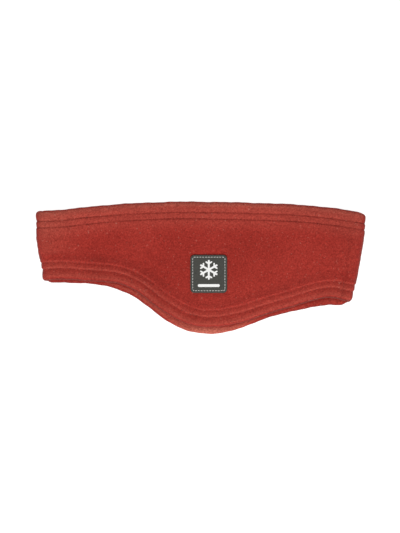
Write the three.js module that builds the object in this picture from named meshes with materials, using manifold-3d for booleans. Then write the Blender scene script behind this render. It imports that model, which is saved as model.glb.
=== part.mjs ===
// A fleece ear-warmer headband, folded flat as it lies on a table. One contour-cut strip of fleece
// is joined by a seam behind the head, its top and bottom edges are hemmed to the inside with a
// two-needle coverstitch, and a small patch is sewn on over one ear.
//
// Frame: +X runs from the nape fold to the forehead fold, +Y towards the top edge, +Z up out of the
// table. The origin is the middle of the underside. Millimetres.
import * as THREE from "three";
import Module from "manifold-3d";
import { mergeVertices } from "three/addons/utils/BufferGeometryUtils.js";

const wasm = await Module();
wasm.setup();

// ---- Driving dimensions ----

// The cloth and the folded loop
const fleece = 2.4; // thickness of the cloth
const loopWidth = 254.5; // from the nape fold to the forehead fold, at the top edge
const slot = 5.4; // free height between the hems of the two halves
const backDrop = 5.4; // how far the lower half lies below the upper one at most, towards -Y

// Depths below the crown line, the highest point of the top edge
const crownX = -8;
const napeTopDrop = 7.4;
const foreheadTopDrop = 9.2;
const napeDepth = 60.6;
const earDepth = 96.6;
const foreheadDepth = 77;

// Where the ear flap hangs, measured from its lowest point
const earX = 8;
const napeShoulder = 78; // from the lowest point to where the flap starts, towards the nape
const foreheadShoulder = 92;

// How far the fold lines lean in at the bottom edge, and the depths between which they turn
const napeLean = 5;
const napeLeanStart = 29;
const napeLeanEnd = 57;
const foreheadLean = 11;
const foreheadLeanStart = 16;
const foreheadLeanPower = 1.7; // how late the forehead fold line turns
const leanPower = 3; // how closely the lean keeps to the folds

// Hems and stitches
const hemDepth = 15; // from the folded edge to the raw edge inside
const rowInset = 7.7; // from the folded edge to the nearer stitch row
const rowGauge = 5; // between the two stitch rows
const thread = 0.6; // diameter of the sewing thread
const threadCover = 0.05; // how deep the threads lie below the face of the cloth
const clearance = 0.3; // between pieces that touch in the cloth
const looperThickness = 0.5;
const grooveFlare = 0.6; // how much wider a stitch groove is at its mouth, on each side

// The seam behind the head, in the lower half
const seamInset = 20; // from the nape fold
const seamWidth = 7; // of the turned-in allowance
const seamStep = 0.4; // width of the step at each side of the allowance
const seamValleyWidth = 2.4;
const seamValleyDepth = 0.8;
const seamThreadWidth = 5;

// The sewn patch over the ear
const patchX = 6.3;
const patchY = -55.6; // below the crown line
const patchWidth = 28.4;
const patchHeight = 29.4;
const patchRadius = 3.2;
const patchThickness = 1.4;
const patchBevel = 0.3;
const patchSink = 0.4; // how deep the stitches pull it into the fleece
const patchStitchInset = 1.75;
const patchStitchThread = 0.5;
const patchGrooveFlare = 0.2; // how much wider the border's groove is at its mouth, on each side

// The printed mark on the patch: a snow crystal over a plain rule
const crystalSize = 15.4;
const crystalY = 3.2; // above the middle of the patch
const crystalArm = 1.5;
const crystalBranch = 3; // length of each side branch
const crystalBranchWidth = 1.2;
const crystalBranchAt = 0.62; // share of the arm at which the branches meet it
const ruleWidth = 17;
const ruleHeight = 2.2;
const ruleY = -9;
const printThickness = 0.35;

// The care tag inside
const tagLength = 30;
const tagThickness = 0.8;
const tagCorner = 1; // radius
const tagMargin = 2; // between the tag and the raw edges of the hems

// Facets
const runSteps = 28; // along each half
const foldSteps = 8; // round each fold
const hemRoundSteps = 4; // round a hem's folded edge

// ---- The loop, worked out from the driving dimensions ----

const thickness = 4 * fleece + slot;
const foldRadius = thickness / 2;
const half = loopWidth / 2;
const straight = loopWidth - 2 * foldRadius;
const foldArc = Math.PI * foldRadius;

const smooth = (from, to, x) => THREE.MathUtils.smoothstep(x, from, to);

// A smooth function through points that rise in x.
function curveThrough(points) {
  const slopeAt = (i) => {
    const a = points[Math.max(i - 1, 0)];
    const b = points[Math.min(i + 1, points.length - 1)];
    return (b[1] - a[1]) / (b[0] - a[0]);
  };
  return (x) => {
    let i = 0;
    while (i < points.length - 2 && x > points[i + 1][0]) i++;
    const [x0, y0] = points[i];
    const [x1, y1] = points[i + 1];
    const width = x1 - x0;
    const t = (x - x0) / width;
    const rise = t * t * (3 - 2 * t);
    const enter = t * (1 - t) * (1 - t) * width * slopeAt(i);
    const leave = t * t * (t - 1) * width * slopeAt(i + 1);
    return y0 + (y1 - y0) * rise + enter + leave;
  };
}

const topEdge = curveThrough([
  [-half, -napeTopDrop],
  [-half + 18, -napeTopDrop + 0.9],
  [-half + 28, -napeTopDrop + 1.8],
  [-half + 47, -3.3],
  [crownX - 37, -0.9],
  [crownX, 0],
  [crownX + 53, -1.05],
  [half - 50, -2.5],
  [half - 31, -4.3],
  [half - 14, -6.7],
  [half, -foreheadTopDrop],
]);

// The ear flap's outline on each side of its lowest point. Each pair is a share of the way to the
// shoulder and a share of the fall there.
const napeFlap = [
  [1, 0.036],
  [0.878, 0.097],
  [0.763, 0.206],
  [0.641, 0.389],
  [0.474, 0.658],
  [0.244, 0.917],
];
const foreheadFlap = [
  [0.239, 0.837],
  [0.489, 0.474],
  [0.685, 0.224],
];
const napeDrop = earDepth - napeDepth;
const foreheadDrop = earDepth - foreheadDepth;
const napeRun = half + earX - napeShoulder; // from the nape fold to where the flap starts
const foreheadRun = half - earX - foreheadShoulder;
const bottomEdge = curveThrough([
  [-half, -napeDepth],
  [-half + 0.245 * napeRun, -napeDepth + 0.9],
  [-half + 0.437 * napeRun, -napeDepth + 0.5],
  [-half + 0.755 * napeRun, -napeDepth - 0.5],
  ...napeFlap.map(([share, fall]) => [earX - share * napeShoulder, -napeDepth - fall * napeDrop]),
  [earX, -earDepth],
  ...foreheadFlap.map(([share, fall]) => [
    earX + share * foreheadShoulder,
    -foreheadDepth - fall * foreheadDrop,
  ]),
  [earX + 0.88 * foreheadShoulder, -foreheadDepth + 0.7],
  [earX + foreheadShoulder, -foreheadDepth + 2.8],
  [half - 0.679 * foreheadRun, -foreheadDepth + 3.1],
  [half - 0.33 * foreheadRun, -foreheadDepth + 1.3],
  [half, -foreheadDepth],
]);

// How far the lower half lies below the upper one at x: not at all at the folds, where they meet.
const drop = curveThrough([
  [-half, 0],
  [-half + 9, 0.42 * backDrop],
  [-half + 40, 0.4 * backDrop],
  [earX - 0.82 * napeShoulder, 0.97 * backDrop],
  [earX, backDrop],
  [earX + 0.239 * foreheadShoulder, 0.82 * backDrop],
  [earX + 0.587 * foreheadShoulder, 0.58 * backDrop],
  [earX + 0.88 * foreheadShoulder, backDrop],
  [half - 17, backDrop],
  [half - 7, 0.6 * backDrop],
  [half, 0],
]);

// The point of the loop at p along its outline and w into the cloth. p starts at the nape end of the
// upper half and runs over the forehead fold, back along the lower half and round the nape fold.
function loopPoint(p, w) {
  const r = foldRadius - w;
  if (p <= straight) return [p - straight / 2, thickness - w];
  if (p < straight + foldArc) {
    const angle = (p - straight) / foldRadius;
    return [straight / 2 + r * Math.sin(angle), foldRadius + r * Math.cos(angle)];
  }
  if (p <= 2 * straight + foldArc) return [straight / 2 - (p - straight - foldArc), w];
  const angle = (p - 2 * straight - foldArc) / foldRadius;
  return [-straight / 2 - r * Math.sin(angle), foldRadius - r * Math.cos(angle)];
}

// How far a point moves towards the middle, because the fold lines lean in.
function lean(x, y) {
  const nape = napeLean * smooth(napeLeanStart, napeLeanEnd, -y);
  const reach = Math.max(-y - foreheadLeanStart, 0) / (foreheadDepth - foreheadLeanStart);
  const forehead = foreheadLean * reach ** foreheadLeanPower;
  return Math.sign(x) * (x < 0 ? nape : forehead) * (Math.abs(x) / half) ** leanPower;
}

// The place in space of a profile point at a station. A profile point lies d in from the top or the
// bottom edge, square to it, and w into the cloth from its outer face.
function place(p, { edge, d, w }) {
  const lower = p > straight + foldArc / 2 && p < 2 * straight + 1.5 * foldArc;
  const x = THREE.MathUtils.clamp(loopPoint(p, 0)[0], -half, half);
  const outline = edge === "top" ? topEdge : bottomEdge;
  const calm = 1 - smooth(half - 32, half - foldRadius, Math.abs(x));
  const slope = (outline(x + 0.5) - outline(x - 0.5)) * calm;
  const inward = edge === "top" ? -1 : 1;
  const length = Math.hypot(1, slope);
  const dx = (-inward * slope * d) / length;
  const dy = (inward * d) / length;
  const [px, pz] = loopPoint(p + (lower ? -dx : dx), w);
  const y = outline(x) - (lower ? drop(x) : 0) + dy;
  return new THREE.Vector3(px - lean(px, y), y, pz);
}

// ---- Stations along the loop ----

const seamX = -half + seamInset;
const seamStart = straight + foldArc + straight / 2 - seamX; // p of the seam line
const evenly = (from, to, steps) => Array.from({ length: steps }, (_, i) => from + ((to - from) * i) / steps);

const allowanceStart = seamStart - seamWidth / 2;
const allowanceEnd = seamStart + seamWidth / 2;
const napeFoldStart = 2 * straight + foldArc;
const stations = [
  ...evenly(0, straight, runSteps),
  ...evenly(straight, straight + foldArc, foldSteps),
  ...evenly(straight + foldArc, allowanceStart - seamStep, runSteps - 2),
  allowanceStart - seamStep,
  allowanceStart,
  seamStart - seamValleyWidth / 2,
  seamStart,
  seamStart + seamValleyWidth / 2,
  allowanceEnd,
  ...evenly(allowanceEnd + seamStep, napeFoldStart, 1),
  ...evenly(napeFoldStart, napeFoldStart + foldArc, foldSteps),
];
const inAllowance = (p) => p >= allowanceStart - 1e-6 && p <= allowanceEnd + 1e-6;
const inValley = (p) => Math.abs(p - seamStart) < 1e-6;

// ---- Profiles across the cloth ----

const hemFace = 2 * fleece; // inner face of a hem
const rowCentre = threadCover + thread / 2; // depth of a needle thread's middle
const grooveDepth = rowCentre + thread / 2 + clearance;
const grooveHalf = thread / 2 + clearance;
const looperHalf = rowGauge / 2 + thread / 2;
const channelDepth = threadCover + looperThickness + clearance;
const allowanceFace = hemFace - channelDepth;
const rows = [rowInset, rowInset + rowGauge];
const rowMiddle = rowInset + rowGauge / 2;

// One hem from its outer face, round the folded edge, to the raw edge inside.
function hemProfile(edge) {
  const points = [];
  for (const d of [...rows].reverse()) {
    points.push({ edge, d: d + grooveHalf + grooveFlare, w: 0 });
    points.push({ edge, d: d + grooveHalf, w: grooveDepth });
    points.push({ edge, d: d - grooveHalf, w: grooveDepth });
    points.push({ edge, d: d - grooveHalf - grooveFlare, w: 0 });
  }
  for (let i = 0; i <= hemRoundSteps; i++) {
    const angle = (Math.PI * i) / hemRoundSteps;
    points.push({ edge, d: fleece * (1 - Math.sin(angle)), w: fleece * (1 - Math.cos(angle)) });
  }
  const channel = looperHalf + clearance;
  points.push({ edge, d: rowMiddle - channel - grooveFlare, w: hemFace });
  points.push({ edge, d: rowMiddle - channel, w: hemFace - channelDepth });
  points.push({ edge, d: rowMiddle + channel, w: hemFace - channelDepth });
  points.push({ edge, d: hemDepth + 2 * clearance, w: fleece });
  return points;
}

// The whole strip: the bottom hem, the single cloth inside, the top hem, the single cloth outside.
const bandProfile = [...hemProfile("bottom"), ...hemProfile("top").reverse()];

function bandPoint(p, point) {
  const single = point.w === fleece && point.d > hemDepth;
  if (single && inAllowance(p)) return place(p, { ...point, w: allowanceFace });
  if (point.w === 0 && inValley(p)) return place(p, { ...point, w: seamValleyDepth });
  return place(p, point);
}

// A closed ring of profile points around the middle of a thread or ribbon.
const diamond = (edge, d, w, radius) => [
  { edge, d: d - radius, w },
  { edge, d, w: w + radius },
  { edge, d: d + radius, w },
  { edge, d, w: w - radius },
];
const ribbon = (edge, d, w, halfWidth, depth) => [
  { edge, d: d - halfWidth, w },
  { edge, d: d - halfWidth, w: w + depth },
  { edge, d: d + halfWidth, w: w + depth },
  { edge, d: d + halfWidth, w },
];

// ---- Meshes from rings of points ----

function geometryOf(points, triangles) {
  const geometry = new THREE.BufferGeometry();
  geometry.setAttribute("position", new THREE.Float32BufferAttribute(points.flatMap((v) => v.toArray()), 3));
  geometry.setIndex(triangles);
  return facingOut(geometry);
}

// Turns the faces round if the closed surface encloses a negative volume.
function facingOut(geometry) {
  const at = geometry.getAttribute("position");
  const index = geometry.getIndex().array;
  const [a, b, c] = [new THREE.Vector3(), new THREE.Vector3(), new THREE.Vector3()];
  let volume = 0;
  for (let i = 0; i < index.length; i += 3) {
    a.fromBufferAttribute(at, index[i]);
    b.fromBufferAttribute(at, index[i + 1]);
    c.fromBufferAttribute(at, index[i + 2]);
    volume += a.dot(b.cross(c));
  }
  if (volume < 0) geometry.setIndex(Array.from(index).reverse());
  geometry.computeVertexNormals();
  return geometry;
}

// Walls between each ring and the next. closed joins the last ring to the first.
function walls(rings, closed) {
  const n = rings[0].length;
  const triangles = [];
  for (let i = 0; i < (closed ? rings.length : rings.length - 1); i++) {
    const next = (i + 1) % rings.length;
    for (let j = 0; j < n; j++) {
      const k = (j + 1) % n;
      const [a, b, c, d] = [i * n + j, i * n + k, next * n + k, next * n + j];
      triangles.push(a, b, c, a, c, d);
    }
  }
  return triangles;
}

const sweepRound = (rings) => geometryOf(rings.flat(), walls(rings, true));

// A stack of rings, closed at both ends by a fan from the middle of the ring.
function stack(rings) {
  const n = rings[0].length;
  const triangles = walls(rings, false);
  const middle = (ring) => ring.reduce((sum, v) => sum.add(v), new THREE.Vector3()).divideScalar(n);
  const points = [...rings.flat(), middle(rings[0]), middle(rings[rings.length - 1])];
  const last = (rings.length - 1) * n;
  for (let j = 0; j < n; j++) {
    const k = (j + 1) % n;
    triangles.push(k, j, points.length - 2, last + j, last + k, points.length - 1);
  }
  return geometryOf(points, triangles);
}

// ---- Solids that are joined or cut ----

function solidOf(geometry) {
  const bare = geometry.clone();
  bare.deleteAttribute("normal");
  bare.deleteAttribute("uv");
  const merged = mergeVertices(bare, 1e-4);
  return new wasm.Manifold(
    new wasm.Mesh({
      numProp: 3,
      vertProperties: merged.getAttribute("position").array,
      triVerts: new Uint32Array(merged.getIndex().array),
    }),
  );
}

function geometryFrom(solid) {
  const { vertProperties, triVerts } = solid.getMesh();
  const geometry = new THREE.BufferGeometry();
  geometry.setAttribute("position", new THREE.BufferAttribute(vertProperties, 3));
  geometry.setIndex(new THREE.BufferAttribute(triVerts, 1));
  geometry.computeVertexNormals();
  return geometry;
}

// ---- The pieces ----

const cloth = (color, roughness = 0.95) =>
  new THREE.MeshStandardMaterial({ color, roughness, metalness: 0, flatShading: true });
const materials = {
  fleece: cloth(0xa0332a),
  redThread: cloth(0xb04438, 0.8),
  patch: cloth(0x51524c, 0.85),
  greyThread: cloth(0xb9bbb4, 0.75),
  print: cloth(0xf2f1ea, 0.55),
  satin: cloth(0xe9e7e0, 0.5),
};

function mesh(name, geometry, material) {
  const made = new THREE.Mesh(geometry, material);
  made.name = name;
  return made;
}

// A rounded rectangle as a ring of points, drawn in by inset, at height z.
function roundedRing(width, height, radius, inset, z) {
  const cornerSteps = 5;
  const r = Math.max(radius - inset, 0.4);
  const points = [];
  const corners = [[1, 1], [-1, 1], [-1, -1], [1, -1]];
  corners.forEach(([sx, sy], quarter) => {
    const cx = sx * (width / 2 - inset - r);
    const cy = sy * (height / 2 - inset - r);
    for (let i = 0; i <= cornerSteps; i++) {
      const angle = ((quarter + i / cornerSteps) * Math.PI) / 2;
      points.push(new THREE.Vector3(cx + r * Math.cos(angle), cy + r * Math.sin(angle), z));
    }
  });
  return points;
}

const patchBottom = thickness - patchSink;
const patchTop = patchBottom + patchThickness;

function fleeceBand() {
  const strip = sweepRound(stations.map((p) => bandProfile.map((point) => bandPoint(p, point))));
  const seatDepth = patchSink + clearance;
  const seatCutter = stack([
    roundedRing(patchWidth, patchHeight, patchRadius, -clearance, thickness - seatDepth),
    roundedRing(patchWidth, patchHeight, patchRadius, -clearance, thickness + fleece),
  ]).translate(patchX, patchY, 0);
  return mesh("fleece_band", geometryFrom(solidOf(strip).subtract(solidOf(seatCutter))), materials.fleece);
}

function needleThread(edge, row, name) {
  const profile = diamond(edge, rows[row], rowCentre, thread / 2);
  const rings = stations.map((p) => profile.map((point) => place(p, point)));
  return mesh(name, sweepRound(rings), materials.redThread);
}

function looperThread(edge) {
  const depth = hemFace - threadCover - looperThickness;
  const profile = ribbon(edge, rowMiddle, depth, looperHalf, looperThickness);
  const rings = stations.map((p) => profile.map((point) => place(p, point)));
  return mesh(`${edge}_hem_looper_thread`, sweepRound(rings), materials.redThread);
}

// The overlock thread over the turned-in allowance of the nape seam, from hem to hem.
function napeSeamThread() {
  const d = hemDepth + 4 * clearance;
  const w = allowanceFace + clearance;
  const profile = [
    { edge: "bottom", d, w },
    { edge: "top", d, w },
    { edge: "top", d, w: w + looperThickness },
    { edge: "bottom", d, w: w + looperThickness },
  ];
  const across = [-seamThreadWidth / 2, 0, seamThreadWidth / 2];
  const rings = across.map((offset) => profile.map((point) => place(seamStart + offset, point)));
  return mesh("nape_seam_thread", stack(rings), materials.redThread);
}

// The care tag starts at the seam's allowance, lies square to it and fits between the hems.
function careTag() {
  const [top, bottom] = ["top", "bottom"].map((edge) =>
    place(allowanceStart - seamStep, { edge, d: hemDepth, w: fleece + clearance }),
  );
  const width = top.distanceTo(bottom) - 2 * tagMargin;
  const rings = [0, tagThickness].map((z) => roundedRing(tagLength, width, tagCorner, 0, z));
  const tag = mesh("care_tag", stack(rings), materials.satin);
  const up = top.clone().sub(bottom).normalize();
  const along = new THREE.Vector3(up.y, -up.x, 0);
  tag.rotation.z = -Math.atan2(up.x, up.y);
  tag.position.addVectors(top, bottom).divideScalar(2).addScaledVector(along, clearance + tagLength / 2);
  return tag;
}

// The patch, with a groove round its border for the stitches.
function patchBase() {
  const outer = patchStitchInset - patchStitchThread / 2 - clearance;
  const inner = patchStitchInset + patchStitchThread / 2 + clearance;
  const ring = (inset, z) => roundedRing(patchWidth, patchHeight, patchRadius, inset, z);
  const grooveFloor = patchThickness - patchStitchThread / 2 - clearance;
  const rings = [
    ring(patchBevel, 0),
    ring(0, patchBevel),
    ring(0, patchThickness - patchBevel),
    ring(patchBevel, patchThickness),
    ring(outer - patchGrooveFlare, patchThickness),
    ring(outer, grooveFloor),
    ring(inner, grooveFloor),
    ring(inner + patchGrooveFlare, patchThickness),
  ];
  return mesh("ear_patch", stack(rings), materials.patch);
}

// The thread that sews the patch down, half sunk in its groove.
function patchThread() {
  const r = patchStitchThread / 2;
  const ring = (inset, z) => roundedRing(patchWidth, patchHeight, patchRadius, patchStitchInset + inset, z);
  const rings = [ring(-r, 0), ring(0, r), ring(r, 0), ring(0, -r)];
  const made = mesh("ear_patch_stitching", sweepRound(rings), materials.greyThread);
  made.position.z = patchThickness;
  return made;
}

// A bar with round ends, centred on the origin and lying along X.
function bar(length, width) {
  const r = width / 2;
  const outline = new THREE.Shape();
  outline.absarc(length / 2 - r, 0, r, -Math.PI / 2, Math.PI / 2);
  outline.absarc(-length / 2 + r, 0, r, Math.PI / 2, 1.5 * Math.PI);
  return new THREE.ExtrudeGeometry(outline, { depth: printThickness, bevelEnabled: false, curveSegments: 4 });
}

// Three bars through the middle, each end with a pair of side branches.
function snowCrystal() {
  const turn = Math.PI / 3;
  let crystal = null;
  const join = (geometry) => {
    const solid = solidOf(geometry);
    crystal = crystal ? crystal.add(solid) : solid;
  };
  for (let arm = 0; arm < 6; arm++) {
    const angle = arm * turn + turn / 2;
    if (arm < 3) join(bar(crystalSize, crystalArm).rotateZ(angle));
    for (const side of [-1, 1]) {
      const reach = crystalBranch / 2 - crystalArm / 4;
      const branch = bar(crystalBranch, crystalBranchWidth).translate(reach, 0, 0).rotateZ(side * turn);
      join(branch.translate((crystalBranchAt * crystalSize) / 2, 0, 0).rotateZ(angle));
    }
  }
  const made = mesh("patch_snow_crystal", geometryFrom(crystal), materials.print);
  made.position.set(0, crystalY, patchThickness + clearance);
  return made;
}

function patchRule() {
  const made = mesh("patch_rule", bar(ruleWidth, ruleHeight), materials.print);
  made.position.set(0, ruleY, patchThickness + clearance);
  return made;
}

const patch = new THREE.Group();
patch.position.set(patchX, patchY, patchBottom);
patch.add(patchBase(), patchThread(), snowCrystal(), patchRule());

const headband = new THREE.Group();
headband.add(
  fleeceBand(),
  needleThread("top", 0, "top_hem_edge_thread"),
  needleThread("top", 1, "top_hem_inner_thread"),
  looperThread("top"),
  needleThread("bottom", 0, "bottom_hem_edge_thread"),
  needleThread("bottom", 1, "bottom_hem_inner_thread"),
  looperThread("bottom"),
  napeSeamThread(),
  careTag(),
  patch,
);

// Everything above is measured from the crown line, so the finished headband moves to its origin.
const box = new THREE.Box3().setFromObject(headband);
const middle = box.getCenter(new THREE.Vector3());
headband.position.set(-middle.x, -middle.y, -box.min.z);

export default headband;
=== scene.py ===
"""Looks of the fleece headband: brushed fleece, folded hems, coverstitching, a sewn patch and a care tag.

The cloth is built as one closed surface round the folded loop. A point of it is named by p, the length
along the loop, by d, the distance in from the top or bottom edge, and by w, the depth from the outer face.
Lengths are in millimetres until a mesh is made.
"""

import math

import bpy
import numpy as np
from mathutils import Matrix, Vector, noise


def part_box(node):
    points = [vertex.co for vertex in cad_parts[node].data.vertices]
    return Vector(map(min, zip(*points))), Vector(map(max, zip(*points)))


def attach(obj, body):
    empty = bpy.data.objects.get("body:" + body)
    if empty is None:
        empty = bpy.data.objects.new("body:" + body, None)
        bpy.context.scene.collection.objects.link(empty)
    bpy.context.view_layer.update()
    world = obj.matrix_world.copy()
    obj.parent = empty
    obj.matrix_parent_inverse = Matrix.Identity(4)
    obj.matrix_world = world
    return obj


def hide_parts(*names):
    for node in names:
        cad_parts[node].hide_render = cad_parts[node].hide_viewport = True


MM = 0.001
UP = (0, 0, 1.0)

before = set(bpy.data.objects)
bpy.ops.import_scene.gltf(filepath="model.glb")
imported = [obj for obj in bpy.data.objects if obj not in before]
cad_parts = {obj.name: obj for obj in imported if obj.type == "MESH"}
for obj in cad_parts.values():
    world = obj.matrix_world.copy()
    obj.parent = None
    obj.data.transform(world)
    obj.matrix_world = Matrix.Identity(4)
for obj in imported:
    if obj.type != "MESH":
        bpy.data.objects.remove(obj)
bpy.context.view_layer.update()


def box_mm(node):
    """Lowest and highest corner of a CAD node, in millimetres."""
    low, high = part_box(node)
    return np.array(low) / MM, np.array(high) / MM


# ---- Sizes read from the frame ----

band_low, band_high = box_mm("fleece_band")
_, row_high = box_mm("top_hem_edge_thread")
_, inner_high = box_mm("top_hem_inner_thread")
patch_low, patch_high = box_mm("ear_patch")
crystal_low, crystal_high = box_mm("patch_snow_crystal")
rule_low, rule_high = box_mm("patch_rule")
tag_low, tag_high = box_mm("care_tag")
seam_low, seam_high = box_mm("nape_seam_thread")

CAD_THREAD_RADIUS = 0.3
HALF = (band_high[0] - band_low[0]) / 2
CROWN = band_high[1]
THICKNESS = band_high[2]
EDGE_ROW = CROWN - row_high[1] + CAD_THREAD_RADIUS
INNER_ROW = CROWN - inner_high[1] + CAD_THREAD_RADIUS
PATCH_CENTRE = (patch_low + patch_high) / 2
PATCH_SIZE = patch_high - patch_low

# ---- The cloth and its loop ----

FLEECE = 2.4
HEM_DEPTH = 15.0
HEM_FACE = 2 * FLEECE
PANEL_LOFT = 0.85  # how much thicker the panel is than FLEECE, where no hem presses it
BACK_DROP = 5.4
NAPE_LEAN = 5.0
NAPE_LEAN_START = 29.0
NAPE_LEAN_END = 57.0
FOREHEAD_LEAN = 11.0
FOREHEAD_LEAN_START = 16.0
NAPE_TOP_DROP = 7.4
FOREHEAD_TOP_DROP = 9.2
NAPE_DEPTH = 60.6
EAR_DEPTH = 96.6
FOREHEAD_DEPTH = 77.0
CROWN_X = -8.0
EAR_X = 8.0
NAPE_SHOULDER = 78.0  # from the ear flap's lowest point to where it starts, towards the nape
FOREHEAD_SHOULDER = 92.0

FOLD_RADIUS = THICKNESS / 2
STRAIGHT = 2 * HALF - 2 * FOLD_RADIUS
ARC = math.pi * FOLD_RADIUS
LOOP = 2 * (STRAIGHT + ARC)

STITCHES = 202  # of each hem row, round the loop
PITCH = LOOP / STITCHES
STEPS_PER_STITCH = 3
TOP_LAP_X = -HALF + 24  # where each hem's stitching starts, and laps over its own start
BOTTOM_LAP_X = EAR_X - 27
LAP_LENGTH = 14.0
LAP_OFFSET = 1.7  # how far towards the edge the lapping stitches begin
SEAM_LEAN = 1.5  # how far the nape's lean moves the seam, on average
SEAM_X = (seam_low[0] + seam_high[0]) / 2 - SEAM_LEAN
SEAM_P = STRAIGHT + ARC + STRAIGHT / 2 - SEAM_X
SEAM_HALF_WIDTH = 3.5
SEAM_TURN = 1.3  # how thick its turned-in allowance is
PATCH_SINK = 1.4  # how far the patch lies below the top of an even cloth
PATCH_GAP = 0.05  # between the patch and the cloth under it
FLOOR_GAP = 0.02  # between the table and the cloth's lowest point
FLOOR_EASE = 0.48  # the height above that in which the table flattens the cloth


def smooth(start, end, x):
    """Rises smoothly from 0 where x is start to 1 where it is end."""
    t = np.clip((np.asarray(x, float) - start) / (end - start), 0, 1)
    return t * t * (3 - 2 * t)


def bell(x, middle, width):
    """A smooth bump of height 1 at middle."""
    return np.exp(-(((x - middle) / width) ** 2))


def curve_through(points):
    """A smooth function through points that rise in x."""
    xs, ys = np.array(points, float).T
    slopes = np.empty(len(xs))
    slopes[1:-1] = (ys[2:] - ys[:-2]) / (xs[2:] - xs[:-2])
    slopes[0] = (ys[1] - ys[0]) / (xs[1] - xs[0])
    slopes[-1] = (ys[-1] - ys[-2]) / (xs[-1] - xs[-2])

    def curve(x):
        i = np.clip(np.searchsorted(xs, x) - 1, 0, len(xs) - 2)
        width = xs[i + 1] - xs[i]
        t = (x - xs[i]) / width
        rise = t * t * (3 - 2 * t)
        enter = t * (1 - t) ** 2 * width * slopes[i]
        leave = t * t * (t - 1) * width * slopes[i + 1]
        return ys[i] + (ys[i + 1] - ys[i]) * rise + enter + leave

    return curve


def outline(points):
    """A curve through points, given as x and height above the crown line."""
    return curve_through([(x, CROWN + y) for x, y in points])


# The ear flap's outline on each side of its lowest point: shares of the way out to the shoulder, and of
# the fall from the shoulder to that point
NAPE_FLAP = [(1, 0.036), (0.878, 0.097), (0.763, 0.206), (0.641, 0.389), (0.474, 0.658), (0.244, 0.917)]
FOREHEAD_FLAP = [(0.239, 0.837), (0.489, 0.474), (0.685, 0.224)]
NAPE_RISE = EAR_DEPTH - NAPE_DEPTH
FOREHEAD_RISE = EAR_DEPTH - FOREHEAD_DEPTH
NAPE_RUN = HALF + EAR_X - NAPE_SHOULDER  # from the nape fold to where the flap starts
FOREHEAD_RUN = HALF - EAR_X - FOREHEAD_SHOULDER
top_edge = outline(
    [
        (-HALF, -NAPE_TOP_DROP),
        (-HALF + 18, -NAPE_TOP_DROP + 0.9),
        (-HALF + 28, -NAPE_TOP_DROP + 1.8),
        (-HALF + 47, -3.3),
        (CROWN_X - 37, -0.9),
        (CROWN_X, 0),
        (CROWN_X + 53, -1.05),
        (HALF - 50, -2.5),
        (HALF - 31, -4.3),
        (HALF - 14, -6.7),
        (HALF, -FOREHEAD_TOP_DROP),
    ]
)
bottom_edge = outline(
    [
        (-HALF, -NAPE_DEPTH),
        (-HALF + 0.245 * NAPE_RUN, -NAPE_DEPTH + 0.9),
        (-HALF + 0.437 * NAPE_RUN, -NAPE_DEPTH + 0.5),
        (-HALF + 0.755 * NAPE_RUN, -NAPE_DEPTH - 0.5),
    ]
    + [(EAR_X - share * NAPE_SHOULDER, -NAPE_DEPTH - fall * NAPE_RISE) for share, fall in NAPE_FLAP]
    + [(EAR_X, -EAR_DEPTH)]
    + [
        (EAR_X + share * FOREHEAD_SHOULDER, -FOREHEAD_DEPTH - fall * FOREHEAD_RISE)
        for share, fall in FOREHEAD_FLAP
    ]
    + [
        (EAR_X + 0.88 * FOREHEAD_SHOULDER, -FOREHEAD_DEPTH + 0.7),
        (EAR_X + FOREHEAD_SHOULDER, -FOREHEAD_DEPTH + 2.8),
        (HALF - 0.679 * FOREHEAD_RUN, -FOREHEAD_DEPTH + 3.1),
        (HALF - 0.33 * FOREHEAD_RUN, -FOREHEAD_DEPTH + 1.3),
        (HALF, -FOREHEAD_DEPTH),
    ]
)
# How far the lower half's bottom edge shows below the upper half's
drop = curve_through(
    [
        (-HALF, 0),
        (-HALF + 9, 0.42 * BACK_DROP),
        (-HALF + 40, 0.4 * BACK_DROP),
        (EAR_X - 0.82 * NAPE_SHOULDER, 0.97 * BACK_DROP),
        (EAR_X, BACK_DROP),
        (EAR_X + 0.239 * FOREHEAD_SHOULDER, 0.82 * BACK_DROP),
        (EAR_X + 0.587 * FOREHEAD_SHOULDER, 0.58 * BACK_DROP),
        (EAR_X + 0.88 * FOREHEAD_SHOULDER, BACK_DROP),
        (HALF - 17, BACK_DROP),
        (HALF - 7, 0.6 * BACK_DROP),
        (HALF, 0),
    ]
)


def loop_xz(p, w):
    """Where the loop is at p along it and w into the cloth, seen from its open side."""
    p = np.mod(p, LOOP)
    r = FOLD_RADIUS - w
    right = (p - STRAIGHT) / FOLD_RADIUS
    left = (p - 2 * STRAIGHT - ARC) / FOLD_RADIUS
    places = [
        (p <= STRAIGHT, p - STRAIGHT / 2, THICKNESS - w),
        (p < STRAIGHT + ARC, STRAIGHT / 2 + r * np.sin(right), FOLD_RADIUS + r * np.cos(right)),
        (p <= 2 * STRAIGHT + ARC, STRAIGHT / 2 - (p - STRAIGHT - ARC), w + 0 * p),
    ]
    x = -STRAIGHT / 2 - r * np.sin(left)
    z = FOLD_RADIUS - r * np.cos(left)
    for here, px, pz in reversed(places):
        x = np.where(here, px, x)
        z = np.where(here, pz, z)
    return x, z


def is_lower(p):
    p = np.mod(p, LOOP)
    return (p > STRAIGHT + ARC / 2) & (p < 2 * STRAIGHT + 1.5 * ARC)


def lean(x, y):
    """How far a point moves towards the middle, because the fold lines lean in."""
    depth = CROWN - y
    nape = NAPE_LEAN * smooth(NAPE_LEAN_START, NAPE_LEAN_END, depth)
    reach = np.clip(depth - FOREHEAD_LEAN_START, 0, None) / (FOREHEAD_DEPTH - FOREHEAD_LEAN_START)
    return np.sign(x) * np.where(x < 0, nape, FOREHEAD_LEAN * reach**1.7) * (np.abs(x) / HALF) ** 3


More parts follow.
